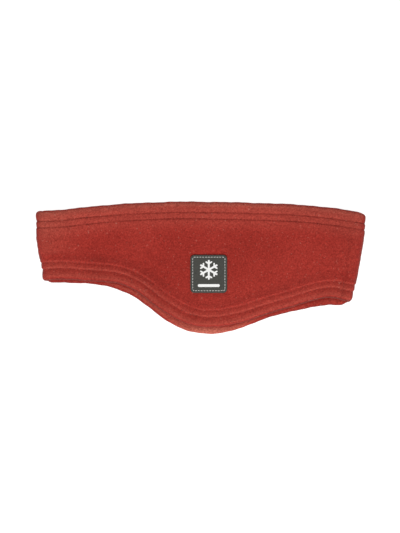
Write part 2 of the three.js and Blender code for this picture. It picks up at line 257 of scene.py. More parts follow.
def wobble(p, seed):
    """A slight unevenness of a hem's folded edge."""
    around = np.atleast_1d(p) * 2 * math.pi / LOOP
    waves = [(0.12, 13, 1.0), (0.09, 29, 2.7), (0.07, 61, 4.1)]
    return sum(a * np.sin(n * around + seed * k) for a, n, k in waves).reshape(np.shape(p))


# How far in from its even place the bottom hem's stitching wanders
stray = curve_through([(-HALF, 0.9), (-88, 0.8), (-60, 0.1), (18, 0), (60, -0.4), (88, 0), (HALF, 0.2)])


def place(p, top, d, w):
    """The point at p round the loop, d in from the top or bottom edge and w into the cloth."""
    x, _ = loop_xz(p, 0.0)
    edge = top_edge if top else bottom_edge
    calm = 1 - smooth(HALF - 32, HALF - FOLD_RADIUS, np.abs(x))
    slope = (edge(x + 0.5) - edge(x - 0.5)) * calm
    inward = -1 if top else 1
    shift = 0.0 if top else stray(x) * smooth(1, 6, d) * (1 - smooth(14, 20, d))
    d = d + shift + wobble(p, 1.0 if top else 5.0) * np.exp(-d / 12)
    length = np.hypot(1, slope)
    dx = -inward * slope * d / length
    y = edge(x) - np.where(is_lower(p), drop(x), 0.0) + inward * d / length
    px, pz = loop_xz(p + np.where(is_lower(p), -dx, dx), w)
    return np.stack(np.broadcast_arrays(px - lean(px, y), y, pz), axis=-1)


# ---- Meshes from arrays of points ----

scene = bpy.context.scene


def link(name, mesh, finish=None):
    """A new object in the scene, with this mesh and this material."""
    made = bpy.data.objects.new(name, mesh)
    scene.collection.objects.link(made)
    if finish:
        made.data.materials.append(finish)
    return made


def grid_mesh(name, points, close_rows=False, close_columns=False, caps=False):
    """A smooth mesh of quads over rows x columns of points, in millimetres."""
    rows, columns = points.shape[:2]
    i = np.arange(rows if close_rows else rows - 1)[:, None]
    j = np.arange(columns if close_columns else columns - 1)[None, :]
    i_next, j_next = (i + 1) % rows, (j + 1) % columns
    corners = [i * columns + j, i * columns + j_next, i_next * columns + j_next, i_next * columns + j]
    quads = np.stack([c + 0 * corners[0] for c in corners], axis=-1).reshape(-1, 4).tolist()
    if caps:
        quads.append(list(range(columns))[::-1])
        quads.append([(rows - 1) * columns + k for k in range(columns)])
    mesh = bpy.data.meshes.new(name)
    mesh.from_pydata((points.reshape(-1, 3) * MM).tolist(), [], quads)
    mesh.polygons.foreach_set("use_smooth", np.ones(len(mesh.polygons), bool))
    mesh.update()
    return mesh


def face_out(mesh):
    """Turns a closed mesh's faces outwards."""
    mesh.calc_loop_triangles()
    co = np.empty(len(mesh.vertices) * 3)
    mesh.vertices.foreach_get("co", co)
    tri = np.empty(len(mesh.loop_triangles) * 3, np.int32)
    mesh.loop_triangles.foreach_get("vertices", tri)
    a, b, c = co.reshape(-1, 3)[tri.reshape(-1, 3)].transpose(1, 0, 2)
    if (a * np.cross(b, c)).sum() < 0:
        mesh.flip_normals()
    return mesh


def tube(name, line, normals, radius, sides, closed=False):
    """A round tube along a line of points, with the line's surface normals to hold its section."""
    ahead = np.roll(line, -1, axis=0) - np.roll(line, 1, axis=0)
    if not closed:
        ahead[0], ahead[-1] = line[1] - line[0], line[-1] - line[-2]
    ahead /= np.linalg.norm(ahead, axis=1, keepdims=True)
    side = np.cross(ahead, normals)
    side /= np.linalg.norm(side, axis=1, keepdims=True)
    up = np.cross(side, ahead)
    turn = np.arange(sides) * 2 * math.pi / sides
    ring = np.cos(turn)[None, :, None] * up[:, None] + np.sin(turn)[None, :, None] * side[:, None]
    points = line[:, None] + radius * ring
    return face_out(grid_mesh(name, points, close_rows=closed, close_columns=True, caps=not closed))


def joined(name, meshes):
    """One mesh that holds several."""
    points, faces, start = [], [], 0
    for mesh in meshes:
        points += [v.co[:] for v in mesh.vertices]
        faces += [[start + k for k in f.vertices] for f in mesh.polygons]
        start += len(mesh.vertices)
        bpy.data.meshes.remove(mesh)
    made = bpy.data.meshes.new(name)
    made.from_pydata(points, [], faces)
    made.polygons.foreach_set("use_smooth", np.ones(len(made.polygons), bool))
    made.update()
    return made


def bumps(points, size, seed):
    """Smooth noise from about -1 to 1 at each point, with features of this size in millimetres."""
    flat = (points.reshape(-1, 3) / size + seed).tolist()
    return np.array([noise.noise(Vector(q)) for q in flat]).reshape(points.shape[:-1])


# ---- Materials ----


def material(name, color, roughness, sheen=0.0, sheen_tint=(1, 1, 1)):
    """A new material, its node tree and its shader."""
    made = bpy.data.materials.new(name)
    made.use_nodes = True
    shader = made.node_tree.nodes["Principled BSDF"]
    shader.inputs["Base Color"].default_value = (*color, 1)
    shader.inputs["Roughness"].default_value = roughness
    shader.inputs["Sheen Weight"].default_value = sheen
    shader.inputs["Sheen Roughness"].default_value = 0.45
    shader.inputs["Sheen Tint"].default_value = (*sheen_tint, 1)
    shader.inputs["Specular IOR Level"].default_value = 0.2
    return made, made.node_tree, shader


def coordinates(tree):
    return tree.nodes.new("ShaderNodeTexCoord").outputs["Object"]


def noise_node(tree, vector, size, detail=2.0, roughness=0.5, distortion=0.0):
    """Noise with features of this size in millimetres."""
    node = tree.nodes.new("ShaderNodeTexNoise")
    node.inputs["Scale"].default_value = 1 / (size * MM)
    node.inputs["Detail"].default_value = detail
    node.inputs["Roughness"].default_value = roughness
    node.inputs["Distortion"].default_value = distortion
    tree.links.new(vector, node.inputs["Vector"])
    return node.outputs["Fac"]


def ramp(tree, value, stops):
    """A colour ramp over value; stops are (position, colour)."""
    node = tree.nodes.new("ShaderNodeValToRGB")
    elements = node.color_ramp.elements
    while len(elements) < len(stops):
        elements.new(0.5)
    for element, (position, color) in zip(elements, stops):
        element.position = position
        element.color = (*color, 1)
    tree.links.new(value, node.inputs["Fac"])
    return node.outputs["Color"]


def math_node(tree, operation, a, b):
    """One sum over sockets or plain numbers."""
    node = tree.nodes.new("ShaderNodeMath")
    node.operation = operation
    for socket, value in zip(node.inputs, (a, b)):
        if isinstance(value, (int, float)):
            socket.default_value = value
        else:
            tree.links.new(value, socket)
    return node.outputs[0]


def mix_color(tree, factor, a, b, blend="MIX"):
    """Mixes a with b by factor; each is a socket, a number or a colour."""
    node = tree.nodes.new("ShaderNodeMix")
    node.data_type = "RGBA"
    node.blend_type = blend
    for name, value in (("Factor", factor), ("A", a), ("B", b)):
        socket = next(s for s in node.inputs if s.name == name and s.enabled)
        if isinstance(value, (int, float)):
            socket.default_value = value
        elif isinstance(value, tuple):
            socket.default_value = (*value, 1)
        else:
            tree.links.new(value, socket)
    return next(s for s in node.outputs if s.enabled)


def bump(tree, shader, height, depth, strength=1.0):
    """Raises the surface by height times depth, in millimetres."""
    node = tree.nodes.new("ShaderNodeBump")
    node.inputs["Distance"].default_value = depth * MM
    node.inputs["Strength"].default_value = strength
    tree.links.new(height, node.inputs["Height"])
    tree.links.new(node.outputs["Normal"], shader.inputs["Normal"])


RED = (0.34, 0.0255, 0.0172)
RED_DEEP = (0.315, 0.0228, 0.0152)
RED_LIGHT = (0.365, 0.0300, 0.0205)
RED_PAINTED_SHEEN = (0.62, 0.22, 0.15)  # painted sheen, where rims and tilted cloth catch more light
RED_SHADE = (0.13, 0.020, 0.014)  # in the creases and round the rims
LINT = (0.62, 0.24, 0.18)


def fleece_material():
    """Brushed red fleece: cloudy colour, a fine grain of fibre ends, specks of pinkish lint, a soft nap,
    and painted sheen and shade from a mesh attribute.
    """
    made, tree, shader = material("red_fleece", RED, 0.95, 0.1, (1.0, 0.60, 0.50))
    where = coordinates(tree)
    clouds = noise_node(tree, where, 50, 2, 0.5)
    tufts = noise_node(tree, where, 2.6, 3, 0.6, 0.3)
    fibres = noise_node(tree, where, 1.1, 3, 0.7, 0.6)
    lint = noise_node(tree, where, 2.0, 2, 0.75)
    base = ramp(tree, clouds, [(0.36, RED_DEEP), (0.5, RED), (0.64, RED_LIGHT)])
    # A mesh attribute holds painted sheen above 0, mixed in as a paler red, and painted shade below 0,
    # mixed in as a dark red.
    painted_sheen_shade = tree.nodes.new("ShaderNodeAttribute")
    painted_sheen_shade.attribute_name = "painted_sheen_shade"
    base = mix_color(tree, painted_sheen_shade.outputs["Fac"], base, RED_PAINTED_SHEEN)
    base = mix_color(tree, math_node(tree, "MULTIPLY", painted_sheen_shade.outputs["Fac"], -1.0), base, RED_SHADE)
    tone = ramp(tree, tufts, [(0.3, (0.92, 0.88, 0.88)), (0.7, (1.08, 1.12, 1.12))])
    base = mix_color(tree, 0.7, base, tone, "MULTIPLY")
    grain = ramp(tree, fibres, [(0.34, (0.64, 0.52, 0.52)), (0.68, (1.34, 1.50, 1.50))])
    base = mix_color(tree, 0.9, base, grain, "MULTIPLY")
    specks = ramp(tree, lint, [(0.64, (0, 0, 0)), (0.73, (1, 1, 1))])
    base = mix_color(tree, math_node(tree, "MULTIPLY", specks, 0.35), base, LINT)
    tree.links.new(base, shader.inputs["Base Color"])
    height = math_node(tree, "MULTIPLY", tufts, 1.2)
    bump(tree, shader, math_node(tree, "ADD", height, fibres), 0.3, 0.6)
    return made


def thread_material(name, color):
    """Spun polyester thread: its twist shows as fine slanting ridges, with painted shade between them."""
    made, tree, shader = material(name, color, 0.6, 0.15)
    where = coordinates(tree)
    twist = tree.nodes.new("ShaderNodeTexWave")
    twist.bands_direction = "DIAGONAL"
    twist.inputs["Scale"].default_value = 900
    twist.inputs["Distortion"].default_value = 1.5
    tree.links.new(where, twist.inputs["Vector"])
    # painted shade: the thread is darker between the twist's ridges
    dark = tuple(0.7 * c for c in color)
    twisted = ramp(tree, twist.outputs["Fac"], [(0.2, dark), (0.7, color)])
    tree.links.new(twisted, shader.inputs["Base Color"])
    bump(tree, shader, twist.outputs["Fac"], 0.06)
    return made


def woven(name, color, dark, *, yarn, roughness, depth):
    """A plain weave of color, with dark painted as shade between its yarns, which are this far apart in
    millimetres.
    """
    made, tree, shader = material(name, color, roughness, 0.1)
    where = coordinates(tree)
    waves = []
    for direction in ("X", "Y"):
        wave = tree.nodes.new("ShaderNodeTexWave")
        wave.bands_direction = direction
        wave.inputs["Scale"].default_value = math.pi / (10 * yarn * MM)
        wave.inputs["Distortion"].default_value = 0.3
        tree.links.new(where, wave.inputs["Vector"])
        waves.append(wave.outputs["Fac"])
    weave = math_node(tree, "MULTIPLY", *waves)
    fuzz = noise_node(tree, where, 1.2, 3, 0.6)
    height = math_node(tree, "ADD", weave, math_node(tree, "MULTIPLY", fuzz, 0.35))
    # painted shade: darker where the weave's surface is low, between the yarns
    tree.links.new(ramp(tree, height, [(0.15, dark), (0.85, color)]), shader.inputs["Base Color"])
    bump(tree, shader, height, depth)
    return made


def mark_material():
    """The raised white print: satin rubber with a trace of the weave under it."""
    made, tree, shader = material("white_print", (0.92, 0.92, 0.90), 0.5)
    where = coordinates(tree)
    grain = noise_node(tree, where, 0.5, 3, 0.6)
    white = ramp(tree, grain, [(0.3, (0.84, 0.84, 0.82)), (0.7, (0.97, 0.97, 0.95))])
    tree.links.new(white, shader.inputs["Base Color"])
    rough = ramp(tree, grain, [(0.3, (0.42, 0.42, 0.42)), (0.7, (0.62, 0.62, 0.62))])
    tree.links.new(rough, shader.inputs["Roughness"])
    bump(tree, shader, grain, 0.05)
    return made


red_fleece = fleece_material()
red_thread = thread_material("red_thread", (0.33, 0.045, 0.031))
grey_thread = thread_material("grey_thread", (0.66, 0.67, 0.63))
patch_cloth = woven(
    "dark_patch_cloth", (0.098, 0.098, 0.086), (0.050, 0.051, 0.045), yarn=0.55, roughness=0.8, depth=0.12
)
white_print = mark_material()
tag_satin = woven("tag_satin", (0.80, 0.78, 0.73), (0.62, 0.60, 0.55), yarn=0.3, roughness=0.35, depth=0.04)


# ---- How the upper half sags ----

SAG_COLUMNS = 97
SAG_ROWS = 25
SAG_FRAMES = 40
SAG_START = 5.0  # from a fold's tangent line to where the sag begins
SAG_RUN = 42.0  # over which it reaches its full depth
HEM_SAG = 2.4  # how far the upper hems sag
PANEL_SAG = 3.4
SUPPORT_GAP = 0.02  # between the cloth at the folds and what holds it
CLOTH_GAP = 0.2  # at which the simulation counts the two as touching


def across(p, share, d=0.0, w=0.0):
    """Points w into the cloth, this share of the way from d inside the bottom edge to d inside the top."""
    low, high = place(p, False, d, w), place(p, True, d, w)
    return low + (high - low) * share[..., None]


def draped():
    """Lays the upper half down on the lower one by cloth simulation. Returns its sag on a grid, in mm."""
    p = np.linspace(0, STRAIGHT, SAG_COLUMNS)[:, None] + np.zeros((1, SAG_ROWS))
    share = np.zeros((SAG_COLUMNS, 1)) + np.linspace(0, 1, SAG_ROWS)[None, :]
    rest = across(p, share)
    cloth = link("drape", grid_mesh("drape", rest))
    ends = [i * SAG_ROWS + j for i in (0, 1, SAG_COLUMNS - 2, SAG_COLUMNS - 1) for j in range(SAG_ROWS)]
    cloth.vertex_groups.new(name="folds").add(ends, 1.0, "REPLACE")
    height = np.linalg.norm(rest[:, -1:] - rest[:, :1], axis=-1)
    inside = np.minimum(share, 1 - share) * height
    held = smooth(SAG_START, SAG_START + SAG_RUN, np.minimum(p, STRAIGHT - p))
    depth = HEM_SAG + (PANEL_SAG - HEM_SAG) * smooth(HEM_DEPTH - 3, HEM_DEPTH + 8, inside)
    under = rest.copy()
    under[..., 2] -= held * (depth - 0.55 * bumps(rest, 34.0, 3.0))
    under[..., 2] -= SUPPORT_GAP
    support = link("support", grid_mesh("support", under))
    support.modifiers.new("collision", "COLLISION")
    support.collision.thickness_outer = CLOTH_GAP * MM
    support.collision.cloth_friction = 20
    modifier = cloth.modifiers.new("cloth", "CLOTH")
    settings = modifier.settings
    settings.quality = 8
    settings.mass = 0.0003
    settings.tension_stiffness = 20
    settings.compression_stiffness = 20
    settings.shear_stiffness = 8
    settings.bending_stiffness = 0.02
    settings.vertex_group_mass = "folds"
    modifier.collision_settings.distance_min = CLOTH_GAP * MM
    modifier.collision_settings.collision_quality = 3
    modifier.point_cache.frame_start, modifier.point_cache.frame_end = 1, SAG_FRAMES
    for step in range(1, SAG_FRAMES + 1):
        scene.frame_set(step)
    shown = cloth.evaluated_get(bpy.context.evaluated_depsgraph_get())
    after = np.array([v.co for v in shown.data.vertices]).reshape(rest.shape) / MM
    for made in (cloth, support):
        bpy.data.objects.remove(made)
    scene.frame_set(1)
    return np.clip(after[..., 2] - rest[..., 2], -PANEL_SAG - 1.5, 0.3)


sag_grid = draped()


def cubic(grid, u, v):
    """Smooth values of a grid at u along its rows and v along its columns, both from 0 to 1."""
    value = 0.0
    rows, columns = grid.shape
    fu, fv = np.clip(u, 0, 1) * (rows - 1), np.clip(v, 0, 1) * (columns - 1)
    iu, iv = np.floor(fu).astype(int), np.floor(fv).astype(int)

    def weights(t):
        return [
            (1 - t) ** 3 / 6,
            (3 * t**3 - 6 * t**2 + 4) / 6,
            (-3 * t**3 + 3 * t**2 + 3 * t + 1) / 6,
            t**3 / 6,
        ]

    for a, wu in enumerate(weights(fu - iu)):
        for b, wv in enumerate(weights(fv - iv)):
            i = np.clip(iu + a - 1, 0, rows - 1)
            j = np.clip(iv + b - 1, 0, columns - 1)
            value = value + wu * wv * grid[i, j]
    return value


def settle(points, p):
    """Lowers points of the upper half by its sag, and keeps everything above the table."""
    p = np.mod(p + 0 * points[..., 0], LOOP)
    low, high = place(p, False, 0.0, 0.0), place(p, True, 0.0, 0.0)
    share = (points[..., 1] - low[..., 1]) / (high[..., 1] - low[..., 1])
    upper = p <= STRAIGHT
    made = points.copy()
    made[..., 2] += np.where(upper, cubic(sag_grid, p / STRAIGHT, share), 0.0)
    sunk = np.clip(FLOOR_GAP + FLOOR_EASE - made[..., 2], 0, None)
    made[..., 2] += sunk - FLOOR_EASE * (1 - np.exp(-sunk / FLOOR_EASE))
    return made


# ---- The outer face ----


def lap_row(p, top):
    """Where the lapping stitches run, in from the edge, and how far along their lap p is, from 0 to 1."""
    start = (TOP_LAP_X if top else BOTTOM_LAP_X) + STRAIGHT / 2
    along = np.mod(p - start + LOOP / 2, LOOP) - LOOP / 2
    t = along / LAP_LENGTH
    return EDGE_ROW - LAP_OFFSET * np.clip(1 - t, 0, 1), t


def groove(off):
    """The section of a stitched groove: a gentle side towards the edge, a steep one towards the panel."""
    pit = 1 / (1 + np.where(off < 0, np.abs(off / 1.4) ** 1.7, np.abs(off / 0.45) ** 2.4))
    return pit - 0.45 * bell(off, 1.0, 0.6)


def row_pits(p, d, top):
    """How deep the stitch rows pull the outer face in, deepest at the holes and at both ends of the lap."""
    pull = (0.36 if top else 0.60) + 0.12 * np.cos(2 * math.pi * p / PITCH)
    lap_d, t = lap_row(p, top)
    lapping = 0.6 * smooth(-0.05, 0.05, t) * (1 - smooth(0.95, 1.05, t))
    rows = groove(d - EDGE_ROW) + groove(d - INNER_ROW) + lapping * groove(d - lap_d)
    lap_ends = bell(t * LAP_LENGTH, 0, 0.8) + bell((t - 1) * LAP_LENGTH, 0, 0.8)
    over_rows = smooth(EDGE_ROW - 2.5, EDGE_ROW - 1, d) * (1 - smooth(INNER_ROW, INNER_ROW + 1.5, d))
    return pull * rows + 0.45 * lap_ends * over_rows


def outer_relief(p, d, top):
    """The depth of the outer face at d from the nearer edge: puffed hems, stitch rows and the panel."""
    x, _ = loop_xz(p, 0.0)
    edge_puff = -0.45 * np.sin(math.pi * np.clip(d / EDGE_ROW, 0, 1) ** 0.8)
    between = np.clip((d - EDGE_ROW) / (INNER_ROW - EDGE_ROW), 0, 1)
    row_puff = -0.25 * np.sin(math.pi * between) ** 2
    hollow = 0.5 * smooth(INNER_ROW + 1, INNER_ROW + 9, d) - 0.15 * smooth(INNER_ROW, INNER_ROW + 1.5, d)
    panel = hollow * (1 - 0.85 * smooth(HALF - 30, HALF - 5, np.abs(x)))
    pucker = 0.12 * np.cos(4 * math.pi * p / PITCH / 3) * bell(d, INNER_ROW + 3, 3)
    return edge_puff + row_puff + panel + pucker + row_pits(p, d, top)


def seam_valley(p):
    """The dent of the nape seam in the outer face of the lower half."""
    return 0.9 * bell(np.mod(p, LOOP), SEAM_P, 1.1)


def patch_press(points):
    """How far the patch's edge presses the fleece in round it."""
    away = np.abs(points[..., :2] - PATCH_CENTRE[:2]) - PATCH_SIZE[:2] / 2
    outside = np.linalg.norm(np.clip(away, 0, None), axis=-1)
    upper = points[..., 2] > THICKNESS - FLEECE / 2
    return np.where(upper, 0.75 * bell(outside, 0, 2.2), 0.0)


def hand(points):
    """The slow unevenness of cloth that was put down by hand."""
    return 0.45 * bumps(points, 42.0, 11.0) + 0.14 * bumps(points, 17.0, 23.0)


def patch_plane():
    """The middle of the patch's underside, where the settled cloth holds it."""
    ring = PATCH_CENTRE[:2] + PATCH_SIZE[:2] / 2 * np.array([(1, 0), (-1, 0), (0, 1), (0, -1)])
    points = np.column_stack([ring, np.full(4, THICKNESS)])
    points[:, 2] -= PATCH_SINK + hand(points)
    height = settle(points, points[:, 0] + STRAIGHT / 2)[:, 2].mean()
    return np.array([PATCH_CENTRE[0], PATCH_CENTRE[1], height])


patch_origin = patch_plane()

# ---- Painted sheen and shade on the fleece ----


def top_hem_painted_light(x, d):
    """Painted sheen along the top hem, where its raised, rounded cloth catches the light: most at its rim,
    and a little on the panel below, with a trace of painted shade just inside each row.
    """
    rim = (1 - smooth(1.7, 4.5, d)) * (0.07 + 0.09 * bell(x, 5, 60))
    hem = 0.035 * (1 - smooth(EDGE_ROW - 2, EDGE_ROW + 1, d))
    inner = 0.02 * (1 - smooth(INNER_ROW - 0.5, INNER_ROW + 0.5, d))
    beyond = 0.07 * (1 - smooth(INNER_ROW, INNER_ROW + 12, d))
    return rim + hem + inner + beyond - 0.02 * beside_rows(d)


def bottom_hem_painted_light(x, d):
    """Painted sheen at the bottom hem's rim and painted highlight beside its stitches; painted shadow along
    its folded edge, where it meets the lower half, and painted shade past its inner row.
    """
    rim = 0.09 * (1 - smooth(2.0, 6.0, d))
    inner = 0.03 * (1 - smooth(INNER_ROW - 0.5, INNER_ROW + 0.5, d))
    # painted shadow along the folded edge, deeper towards the forehead end
    under = bell(d, -0.25, 0.75) * (0.75 + 0.5 * smooth(20, 60, x))
    # painted shade on the panel just past the inner row
    past = 0.12 * bell(d, INNER_ROW + 3.3, 2.4)
    return rim + inner - under - past + 0.09 * beside_rows(d)


def beside_rows(d):
    """A narrow band just inside each stitch row, where the bottom hem gets a painted highlight and the top
    hem a painted shade.
    """
    return sum(bell(d, row + 0.75, 0.6) for row in (EDGE_ROW, INNER_ROW))


def strip_painted_light(x, d):
    """Painted sheen on the strip of the lower half that shows, palest below the ear, and a painted shadow
    where it goes under the upper half.
    """
    along = 0.18 + 0.28 * bell(x, 6, 17) - 0.12 * smooth(25, 60, x) - 0.10 * smooth(45, 90, -x)
    # painted shadow where the strip goes under the upper half
    return along - 0.4 * smooth(drop(x) - 1.4, drop(x) - 0.2, d)


def rim_painted_shade(p, x, d, top):
    """Painted shade on the rims, where the cloth turns away from view: round both folds, along the top, and
    along the bottom away from the ear.
    """
    turns = [STRAIGHT + ARC / 2, 2 * STRAIGHT + 1.5 * ARC]
    folds = sum(bell(p, middle, 0.19 * ARC) for middle in turns)
    edges = bell(d, -FLUFF, np.where(top, 0.6, 1.1))
    edges = edges * np.where(top, 1.0, smooth(22, 45, np.abs(x - EAR_X)))
    return 0.75 * np.maximum(folds, edges)


def painted_sheen_and_shade(points, faces, d, top, p):
    """Painted sheen and shade on the fleece: how much paler than plain red it is painted, or darker where
    it is below 0.
    """
    x, y = points[..., 0], points[..., 1]
    painted_sheen_shade = np.where(top, top_hem_painted_light(x, d), bottom_hem_painted_light(x, d))
    painted_sheen_shade = np.where(is_lower(p) & ~top & (d < EDGE_ROW), strip_painted_light(x, d), painted_sheen_shade)
    # painted shade in the dent of the nape seam
    painted_sheen_shade = painted_sheen_shade - np.where(faces == "outer", 0.4 * seam_valley(p) ** 3, 0.0)
    # painted sheen towards both folds, more at the nape's
    ends = 0.09 * smooth(85, HALF, -x) * smooth(-15, 20, y) + 0.03 * smooth(85, HALF, x)
    return np.maximum(painted_sheen_shade + ends - rim_painted_shade(p, x, d, top), -0.8)


# ---- The fleece band ----

ROW_STOPS = [-1.5, -0.8, -0.3, 0.1, 0.4, 0.75, 1.4]
HEM_STOPS = [0.9, 1.9, 3.0, 4.2, 5.3]
HEM_STOPS += [row + stop for row in (EDGE_ROW, INNER_ROW) for stop in ROW_STOPS]
HEM_STOPS += [INNER_ROW + stop for stop in (2.6, 4.0, 5.8, 8.0)]
INNER_STOPS = [1.2, 2.8, 4.6, 6.3, EDGE_ROW, 9.2, 10.8, INNER_ROW, 13.6, 14.4]
# Round the hem's raw edge: how far past the hem's depth, and the depth from the outer face
RAW_EDGE = [(0, 4.62), (0.25, 4.1), (0.3, 3.5), (0.15, 2.9)]
RAW_EDGE += [(-0.8, 2.62), (-0.9, 2.44), (0.6, 2.42), (1.6, FLEECE)]
LINING_EDGE = HEM_DEPTH + 1.6
FLUFF = 0.35  # how far the nap stands out round a folded edge
PANEL_SAMPLES = 28
LINING_SAMPLES = 26
ROUND_SAMPLES = 8


def hem_profile(top):
    """Samples round a hem, from its folded edge to its raw one."""
    hem = []
    for k in range(ROUND_SAMPLES + 1):
        turn = math.pi * k / ROUND_SAMPLES
        d = FLEECE * (1 - math.sin(turn)) - FLUFF * math.sin(turn)
        hem.append(("fold", top, d, HEM_FACE / 2 * (1 - math.cos(turn))))
    hem += [("hem", top, d, HEM_FACE) for d in INNER_STOPS if d > FLEECE]
    hem += [("raw", top, HEM_DEPTH + past, w) for past, w in RAW_EDGE]
    return hem


def band_profile():
    """Samples across the cloth: (face, share from bottom to top, d, w), closed into a ring.

    face is outer, fold, hem, raw or lining. In a hem the share is 0 or 1.
    """
    bottom, top = ([("outer", edge, d, 0.0) for d in HEM_STOPS if d > FLEECE] for edge in (0.0, 1.0))
    lining = [("lining", s, LINING_EDGE, FLEECE) for s in np.linspace(0, 1, LINING_SAMPLES + 2)[1:-1]]
    panel = [("outer", 1 - s, HEM_STOPS[-1], 0.0) for s in np.linspace(0, 1, PANEL_SAMPLES + 2)[1:-1]]
    return bottom[::-1] + hem_profile(0.0) + lining + hem_profile(1.0)[::-1] + top + panel


def lining_rows(p, d):
    """The inner face of a hem, pulled in under the looper thread."""
    rows = sum(bell(d, row, 1.1) for row in (EDGE_ROW, INNER_ROW))
    return -0.55 * rows - 0.1 * np.cos(2 * math.pi * p / PITCH) * rows


def relief(p, d, w, faces, flat, nearest, top):
    """How far each point lies into the cloth from its even place."""
    outer, fold, hem, lining = (faces == face for face in ("outer", "fold", "hem", "lining"))
    rises = np.where(top, outer_relief(p, nearest, True), outer_relief(p, nearest, False))
    rises = rises * np.where(outer, 1.0, np.where(fold, 1 - smooth(0.0, HEM_FACE, w), 0.0))
    presses = np.where(outer, seam_valley(p) + patch_press(flat), 0.0)
    inner = np.where(lining, PANEL_LOFT, 0.0) + np.where(hem, lining_rows(p, d), 0.0)
    turned = smooth(SEAM_HALF_WIDTH + 0.7, SEAM_HALF_WIDTH - 0.3, np.abs(p - SEAM_P))
    allowance = SEAM_TURN * turned * smooth(HEM_DEPTH, HEM_DEPTH + 1, d)
    return rises + presses + inner + np.where(lining | (faces == "raw"), allowance, 0.0)


def band_points():
    """All points of the band, stations round the loop by samples across the cloth, and the painted sheen
    and shade at each.
    """
    p = (np.arange(STITCHES * STEPS_PER_STITCH) / STEPS_PER_STITCH * PITCH)[:, None]
    profile = band_profile()
    faces = np.array([s[0] for s in profile])[None, :]
    share, d, w = (np.array([s[k] for s in profile], float)[None, :] for k in (1, 2, 3))
    top = share > 0.5
    flat = across(p, share, d, w)
    gap = np.linalg.norm(place(p, True, d, w) - place(p, False, d, w), axis=-1)
    nearest = d + gap * np.minimum(share, 1 - share)
    tuft = 0.20 * bumps(flat, 3.1, 5.0) + 0.09 * bumps(flat, 1.3, 9.0)
    outward = np.where(w < FLEECE, 1.0, -1.0)
    w = w + relief(p, d, w, faces, flat, nearest, top) + hand(flat) + tuft * outward
    points = settle(across(p, share, d, w), p)
    away = np.abs(points[..., :2] - PATCH_CENTRE[:2]) - PATCH_SIZE[:2] / 2
    covered = (away.max(axis=-1) < 0.3) & (faces == "outer") & (p < STRAIGHT)
    lowered = np.minimum(points[..., 2], patch_origin[2] - PATCH_GAP)
    points[..., 2] = np.where(covered, lowered, points[..., 2])
    return points, painted_sheen_and_shade(points, faces, nearest, top, p)


def loop_uv(mesh, rows, columns):
    """A map that lays each half of the loop out flat, one above the other."""
    uv = mesh.uv_layers.new(name="OFBake").data
    half = rows // 2
    face = np.arange(rows * columns)
    i, j = face // columns, face % columns
    strip = i // half
    u = np.stack([i, i, i + 1, i + 1], axis=-1) - (strip * half)[:, None]
    v = np.stack([j, j + 1, j + 1, j], axis=-1)
    pad = 0.004
    flat_u = pad + u / half * (1 - 2 * pad)
    flat_v = pad + v / columns * (0.5 - 2 * pad) + 0.5 * strip[:, None]
    uv.foreach_set("uv", np.stack([flat_u, flat_v], axis=-1).astype(np.float32).ravel())


def ridden(piece, nodes):
    """The piece rides on the only body and stands for these CAD nodes, which it hides."""
    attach(piece, "root")
    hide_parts(*nodes)
    return piece


def fleece_band():
    """The fleece strip: one closed surface round the loop, with its own folded hems."""
    points, painted_sheen_shade = band_points()
    mesh = grid_mesh("band", points, close_rows=True, close_columns=True)
    # painted sheen and shade for the fleece material, stored on each point
    mesh.attributes.new("painted_sheen_shade", "FLOAT", "POINT").data.foreach_set("value", painted_sheen_shade.ravel())
    loop_uv(mesh, *points.shape[:2])
    return ridden(link("fleece_strip", face_out(mesh), red_fleece), ["fleece_band"])


band = fleece_band()

# ---- Stitching ----

THREAD_RADIUS = 0.24
LOOPER_RADIUS = 0.8 * THREAD_RADIUS
LINE_STEPS = 8  # points of a thread in each stitch
NEEDLE_DEPTH = 0.68  # of a needle thread between two holes
HOLE_DEPTH = 1.0  # how much further it goes in at a hole


def cloth_line(p, top, d, w):
    """Points of the settled cloth along a line, and the cloth's outward normals there."""
    base = place(p, top, d, 0.0)
    w = w + hand(base)
    points = settle(place(p, top, d, w), p)
    raised = settle(place(p, top, d, w - 0.4), p)
    out = raised - points
    out[..., 2] += 1e-4
    return points, out / np.linalg.norm(out, axis=1, keepdims=True)


def needle_row(name, node, top, row, lap_x):
    """One needle thread, down through a hole at every stitch, round the loop and over its own start."""
    count = int((LOOP + LAP_LENGTH) / PITCH) * LINE_STEPS
    step = np.arange(count) / LINE_STEPS
    run = step * PITCH
    p = lap_x + STRAIGHT / 2 + run
    hole = np.abs(np.cos(math.pi * step)) ** 8
    past = (run - LOOP) / LAP_LENGTH
    nearing = smooth(-0.3, 0.0, past) * np.clip(1 - past, 0, 1)
    d = row - LAP_OFFSET * nearing + 0.08 * np.sin(p * 0.9 + row)
    line, out = cloth_line(p, top, d, NEEDLE_DEPTH + HOLE_DEPTH * hole + seam_valley(p))
    ridden(link(name, tube(name, line, out, THREAD_RADIUS, 6), red_thread), [node])


def looper(name, node, top, lap_x):
    """The looper thread inside a hem: it crosses from row to row and back at every stitch."""
    step = np.arange(STITCHES * LINE_STEPS) / LINE_STEPS
    p = lap_x + STRAIGHT / 2 + step * PITCH
    swing = np.sin(2 * math.pi * step)
    swing = np.sign(swing) * np.abs(swing) ** 0.6
    d = (EDGE_ROW + INNER_ROW) / 2 + (INNER_ROW - EDGE_ROW) / 2 * swing
    pulled = sum(0.45 * bell(d, row, 1.1) for row in (EDGE_ROW, INNER_ROW))
    line, out = cloth_line(p, top, d, HEM_FACE - pulled + 0.22)
    mesh = tube(name, line, out, LOOPER_RADIUS, 5, closed=True)
    ridden(link(name, mesh, red_thread), [node])


